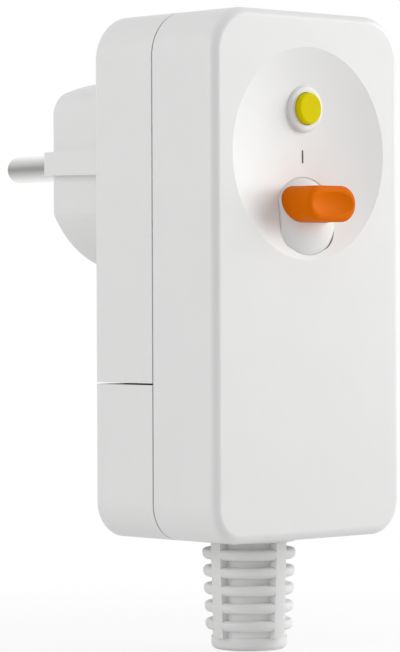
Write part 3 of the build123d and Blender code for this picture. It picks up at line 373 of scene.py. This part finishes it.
def laminated_core(name, colour):
    """Stacked sheet steel: thin dark lines between the sheets."""
    finish = Finish(name)
    sheets = finish.bands(SHEET, "Z", "SAW")
    return finish.made_of(
        {
            "Base Color": finish.blend(sheets, darker(colour, 0.5), colour, start=0.0, end=0.3),
            "Roughness": finish.spread(sheets, low=0.6, high=0.42),
            "Normal": finish.bump(sheets, SHEET_GROOVE),
            "Metallic": 0.85,
        }
    )


def finish_makers():
    """For each slot, what makes its material, its colour and its settings."""
    tint = colours()
    drawn_steel = {"roughness": 0.3, "stretch": (0.2, 1, 1)}
    turned_steel = {"roughness": 0.35, "stretch": (1, 0.2, 1)}
    drawn_brass = {"roughness": 0.32, "stretch": (1, 1, 0.2)}
    drawn_copper = {"roughness": 0.34, "stretch": (1, 1, 0.15)}
    button = {"roughness": 0.5, "grain": 0.8, "mottle": 0.96, "shine": 0.03}
    lever = {"roughness": 0.5, "grain": 1.2, "mottle": 0.94, "shine": 0.03}
    winding = {"wire": WIRE, "across": "X"}
    return {
        "shell_white": (moulded_plastic, tint.shell, {"roughness": 0.36}),
        "boot_white": (moulded_plastic, tint.boot, {"roughness": 0.5, "grain": 1.6}),
        "button_yellow": (moulded_plastic, tint.button, button),
        "lever_orange": (moulded_plastic, tint.lever, lever),
        "mark_black": (moulded_plastic, (0.02, 0.02, 0.022), {"roughness": 0.5}),
        "pin_nickel": (pin_with_painted_reflection, tint.pin, {}),
        "spring_steel": (brushed_metal, (0.5, 0.5, 0.52), drawn_steel),
        "screw_steel": (brushed_metal, (0.55, 0.55, 0.56), turned_steel),
        "brass": (brushed_metal, (0.72, 0.53, 0.24), drawn_brass),
        "copper_strip": (brushed_metal, (0.72, 0.36, 0.22), drawn_copper),
        "mechanism_black": (moulded_plastic, (0.03, 0.03, 0.032), {"roughness": 0.45}),
        "mechanism_grey": (moulded_plastic, (0.28, 0.29, 0.3), {"roughness": 0.45}),
        "core_grey": (laminated_core, (0.4, 0.4, 0.42), {}),
        "winding_copper": (wound_wire, (0.6, 0.26, 0.12), winding),
        "board_green": (circuit_laminate, (0.02, 0.16, 0.06), {}),
        "component_blue": (moulded_plastic, (0.03, 0.12, 0.42), {"roughness": 0.35}),
        "component_tan": (moulded_plastic, (0.55, 0.4, 0.24), {"roughness": 0.5}),
        "component_black": (moulded_plastic, (0.02, 0.02, 0.02), {"roughness": 0.4}),
    }


_finishes = {}


def finish_for(slot):
    """The material of one slot, made on its first use."""
    if slot not in _finishes:
        maker, colour, settings = finish_makers()[slot]
        _finishes[slot] = maker(slot, tuple(colour), **settings)
    return _finishes[slot]


# Modelling


def clear_selection():
    if bpy.context.object and bpy.context.object.mode != "OBJECT":
        bpy.ops.object.mode_set(mode="OBJECT")
    bpy.ops.object.select_all(action="DESELECT")


def pick(piece):
    clear_selection()
    piece.select_set(True)
    bpy.context.view_layer.objects.active = piece


def paint(piece, slot):
    piece.data.materials.clear()
    piece.data.materials.append(finish_for(slot))


def node_slot(node):
    """The material slot that the record gives to a node."""
    for entry in frame["record"]["subparts"]:
        if entry["node"] == node:
            return entry["material_slot"]
    raise ValueError(f"no material slot holds {node}")


def on_dish_rim(point):
    """Whether a point lies where the dish meets the flat front."""
    off_front = abs(point.y - CAD_FRONT)
    off_rim = abs(math.hypot(point.x, point.z - DISH_Z) - DISH_RADIUS)
    return off_front < RIM_DEPTH_REACH and off_rim < RIM_RADIUS_REACH


def moulding(node, name, angle=SMOOTH_ANGLE, crisp=None):
    """A merged and evenly shaded copy of a CAD node, which stands for it in the scene."""
    source = frame["nodes"][node]
    piece = bpy.data.objects.new(name, source.data.copy())
    bpy.context.scene.collection.objects.link(piece)
    pick(piece)
    bpy.ops.object.mode_set(mode="EDIT")
    bpy.ops.mesh.select_all(action="SELECT")
    bpy.ops.mesh.customdata_custom_splitnormals_clear()
    bpy.ops.mesh.remove_doubles(threshold=WELD_REACH)
    bpy.ops.mesh.dissolve_limited(angle_limit=math.radians(FLAT_ANGLE))
    bpy.ops.object.mode_set(mode="OBJECT")
    bpy.ops.object.shade_smooth_by_angle(angle=math.radians(angle))
    if crisp:
        for edge in piece.data.edges:
            if all(crisp(piece.data.vertices[i].co) for i in edge.vertices):
                edge.use_edge_sharp = True
    even = piece.modifiers.new("Even shading", "WEIGHTED_NORMAL")
    even.keep_sharp = True
    even.weight = SHADING_WEIGHT
    bpy.ops.object.modifier_apply(modifier=even.name)
    slot = node_slot(node)
    paint(piece, slot)
    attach(piece, source["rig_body"])
    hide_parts(node)
    return piece


class BREAKER_OT_casing(bpy.types.Operator):
    """Makes the front shell, the rear shell with its plug, and the terminal cover"""

    bl_idname = "breaker.casing"
    bl_label = "Casing"

    def execute(self, context):
        moulding("front_shell", "front_shell_moulding", crisp=on_dish_rim)
        moulding("rear_shell", "rear_shell_moulding")
        moulding("terminal_cover", "terminal_cover_moulding")
        return {"FINISHED"}


class BREAKER_OT_boot(bpy.types.Operator):
    """Makes the ribbed cable boot"""

    bl_idname = "breaker.boot"
    bl_label = "Cable boot"

    def execute(self, context):
        moulding("cable_boot", "cable_boot_moulding", BOOT_SMOOTH_ANGLE)
        return {"FINISHED"}


class BREAKER_OT_button(bpy.types.Operator):
    """Makes the test button and the on mark"""

    bl_idname = "breaker.button"
    bl_label = "Test button and mark"

    def execute(self, context):
        moulding("test_button", "test_button_cap")
        moulding("on_mark", "on_mark_print")
        return {"FINISHED"}


class BREAKER_OT_lever(bpy.types.Operator):
    """Makes the toggle lever and the shutter that closes its slot"""

    bl_idname = "breaker.lever"
    bl_label = "Lever and shutter"

    def execute(self, context):
        moulding("toggle_lever", "toggle_lever_handle")
        moulding("lever_shutter", "lever_shutter_drum")
        return {"FINISHED"}


class BREAKER_OT_plug_metal(bpy.types.Operator):
    """Makes the plug's pins and earth clips"""

    bl_idname = "breaker.plug_metal"
    bl_label = "Pins and earth clips"

    def execute(self, context):
        for node in ("line_pin", "neutral_pin", "upper_earth_clip", "lower_earth_clip"):
            moulding(node, f"{node}_plated")
        return {"FINISHED"}


class BREAKER_OT_inner_parts(bpy.types.Operator):
    """Gives every piece that has no moulding its finish"""

    bl_idname = "breaker.inner_parts"
    bl_label = "Inner parts"

    def execute(self, context):
        for node, piece in frame["nodes"].items():
            if not piece.hide_render:
                paint(piece, node_slot(node))
        return {"FINISHED"}


# Studio


def soft_lamp(name, place, width, height, power):
    lamp = bpy.data.objects.new(name, bpy.data.lights.new(name, "AREA"))
    lamp.data.shape = "RECTANGLE"
    lamp.data.size = width
    lamp.data.size_y = height
    lamp.data.energy = power
    lamp.location = place
    aim = Vector(LAMP_TARGET) - Vector(place)
    lamp.rotation_euler = aim.to_track_quat("-Z", "Y").to_euler()
    bpy.context.scene.collection.objects.link(lamp)


def white_world():
    """Soft light from all round, behind a background that shows plain white."""
    world = bpy.data.worlds.new("Studio")
    bpy.context.scene.world = world
    bench = NodeBench(world)
    soft = bench.nodes["Background"]
    bench.feed(soft, {"Color": WHITE, "Strength": SKY_STRENGTH})
    plain = bench.add("ShaderNodeBackground", {"Color": WHITE, "Strength": 1.0})
    mix = bench.add(
        "ShaderNodeMixShader",
        {"Fac": bench.seen_directly(), 1: soft.outputs[0], 2: plain.outputs[0]},
    )
    bench.feed(bench.nodes["World Output"], {"Surface": mix.outputs[0]})


def floor_material():
    """Pale floor that shows near white and keeps the object's shadow."""
    material = bpy.data.materials.new("pale_floor")
    bench = NodeBench(material)
    bench.nodes.remove(bench.nodes["Principled BSDF"])
    matt = bench.add("ShaderNodeBsdfDiffuse", {"Color": FLOOR_COLOUR})
    glow = bench.add("ShaderNodeEmission", {"Strength": 1.0})
    place = bench.add("ShaderNodeTexCoord").outputs["Object"]
    reach = bench.add("ShaderNodeVectorMath", {0: place}, operation="LENGTH")
    fade = bench.add(
        "ShaderNodeMapRange",
        {
            "Value": reach.outputs["Value"],
            "From Min": FADE_START,
            "From Max": FADE_END,
            "To Min": FLOOR_WHITE,
            "To Max": 1.0,
        },
        interpolation_type="SMOOTHSTEP",
    )
    share = bench.add(
        "ShaderNodeMath",
        {0: bench.seen_directly(), 1: fade.outputs["Result"]},
        operation="MULTIPLY",
    )
    mix = bench.add(
        "ShaderNodeMixShader",
        {"Fac": share.outputs[0], 1: matt.outputs[0], 2: glow.outputs[0]},
    )
    bench.feed(bench.nodes["Material Output"], {"Surface": mix.outputs[0]})
    return material


def studio_camera(centre, azimuth, pitch, roll, distance, shift_right, shift_up, lens):
    """Camera on a sphere round a point of the casing, as in the photograph."""
    a, e, r = math.radians(azimuth), math.radians(pitch), math.radians(roll)
    back = Vector((math.sin(a) * math.cos(e), -math.cos(a) * math.cos(e), math.sin(e)))
    level = Vector((math.cos(a), math.sin(a), 0))
    rise = level.cross(-back)
    right = level * math.cos(r) + rise * math.sin(r)
    up = rise * math.cos(r) - level * math.sin(r)
    camera = bpy.data.objects.new("Camera", bpy.data.cameras.new("Camera"))
    camera.data.lens = lens
    camera.data.sensor_width = FILM_WIDTH
    camera.data.clip_start = NEAR_CLIP
    turn = Matrix((right, up, back)).transposed().to_4x4()
    place = centre + back * distance - right * shift_right - up * shift_up
    camera.matrix_world = Matrix.Translation(place) @ turn
    bpy.context.scene.collection.objects.link(camera)
    bpy.context.scene.camera = camera


class BREAKER_OT_studio(bpy.types.Operator):
    """Sets up the pale floor, the soft lamps, the white background and the camera"""

    bl_idname = "breaker.studio"
    bl_label = "Studio"

    def execute(self, context):
        low = CAD_BOX[0][2]
        clear_selection()
        bpy.ops.mesh.primitive_plane_add(size=FLOOR_SIZE, location=(0, 0, low - FLOOR_GAP))
        floor = context.object
        floor.name = "floor"
        bpy.ops.object.transform_apply(location=True, rotation=True, scale=True)
        floor.data.materials.append(floor_material())
        for name, lamp in LAMPS.items():
            soft_lamp(name, *lamp)
        white_world()
        studio_camera(
            Vector((0, -33.3 * MM, -20 * MM)),
            azimuth=-43.397,
            pitch=0.522,
            roll=-0.206,
            distance=565.247 * MM,
            shift_right=8.426 * MM,
            shift_up=8.712 * MM,
            lens=177.6,
        )
        context.scene.view_settings.view_transform = "Standard"
        return {"FINISHED"}


class BREAKER_PT_pieces(bpy.types.Panel):
    """Lists the breaker's pieces, sizes and colours"""

    bl_idname = "BREAKER_PT_pieces"
    bl_label = "Residual current breaker"
    bl_space_type = "VIEW_3D"
    bl_region_type = "UI"
    bl_category = "Breaker"

    def draw(self, context):
        for group in (context.scene.breaker_sizes, context.scene.breaker_colours):
            box = self.layout.box()
            for name in group.__annotations__:
                box.prop(group, name)
        for operator in PIECE_OPERATORS:
            self.layout.operator(operator.bl_idname)


PIECE_OPERATORS = (
    BREAKER_OT_casing,
    BREAKER_OT_boot,
    BREAKER_OT_button,
    BREAKER_OT_lever,
    BREAKER_OT_plug_metal,
    BREAKER_OT_inner_parts,
    BREAKER_OT_studio,
)
CLASSES = (BreakerSizes, BreakerColours, *PIECE_OPERATORS, BREAKER_PT_pieces)


def register():
    for cls in CLASSES:
        bpy.utils.register_class(cls)
    bpy.types.Scene.breaker_sizes = bpy.props.PointerProperty(type=BreakerSizes)
    bpy.types.Scene.breaker_colours = bpy.props.PointerProperty(type=BreakerColours)


def unregister():
    del bpy.types.Scene.breaker_colours
    del bpy.types.Scene.breaker_sizes
    for cls in reversed(CLASSES):
        bpy.utils.unregister_class(cls)


def main():
    register()
    bpy.ops.breaker.casing()
    bpy.ops.breaker.boot()
    bpy.ops.breaker.button()
    bpy.ops.breaker.lever()
    bpy.ops.breaker.plug_metal()
    bpy.ops.breaker.inner_parts()
    bpy.ops.breaker.studio()


if __name__ == "__main__":
    main()
